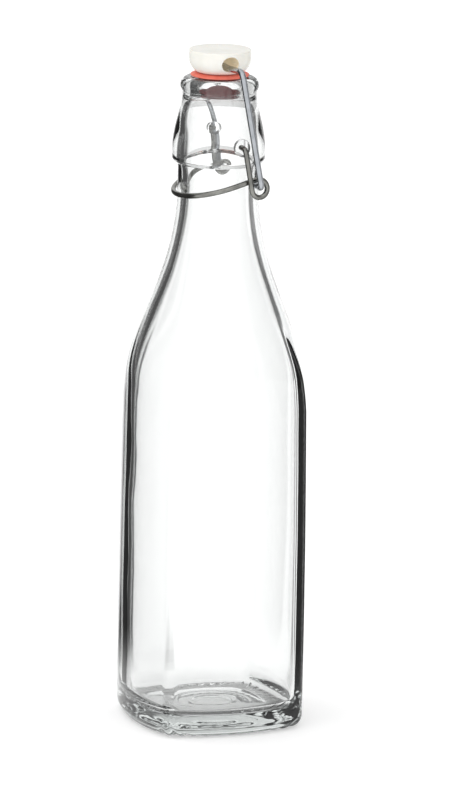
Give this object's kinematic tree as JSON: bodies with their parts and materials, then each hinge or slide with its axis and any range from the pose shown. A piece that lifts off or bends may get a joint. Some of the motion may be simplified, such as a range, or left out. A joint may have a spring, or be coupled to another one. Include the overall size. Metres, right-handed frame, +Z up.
{
  "type": "swing-top bottle",
  "caption": "Clear square glass bottle with bowed sides, round neck and a wire swing-top closure with a white stopper and red gasket.",
  "frame": {"origin": "centre of the bearing ring under the base, on the plane the bottle stands on", "axes": "+Z up along the bottle's axis; X along the closure's pivots; the lever's loop lies at the front, towards -Y"},
  "size_m": [0.0676, 0.0676, 0.2661],
  "materials": {
    "glass": "clear, polished, faint green-grey tint",
    "stopper_plastic": "warm white, gloss",
    "gasket_rubber": "orange-red, satin",
    "bail_steel": "bright drawn wire",
    "lever_steel": "bright drawn wire"
  },
  "bodies": {
    "bottle": {"bottle": "glass"},
    "lever": {"lever": "lever_steel"},
    "bail": {"bail": "bail_steel"},
    "stopper": {"stopper": "stopper_plastic", "gasket": "gasket_rubber"}
  },
  "joints": [
    {"name": "lever_pivot", "type": "hinge", "parent": "bottle", "child": "lever", "pos_m": [0, 0.0035, 0.23], "axis": [-1, 0, 0], "range_deg": [0, 88]},
    {"name": "bail_hinge", "type": "hinge", "parent": "lever", "child": "bail", "pos_m": [0, 0.0094, 0.215], "axis": [-1, 0, 0], "range_deg": [-59, 0]},
    {"name": "stopper_turn", "type": "hinge", "parent": "bail", "child": "stopper", "pos_m": [0, 0, 0.26015], "axis": [-1, 0, 0], "range_deg": [-30, 0]}
  ],
  "couplings": [
    {"joint": "bail_hinge", "follows": "lever_pivot", "ratio": -0.66},
    {"joint": "stopper_turn", "follows": "lever_pivot", "ratio": -0.34}
  ]
}
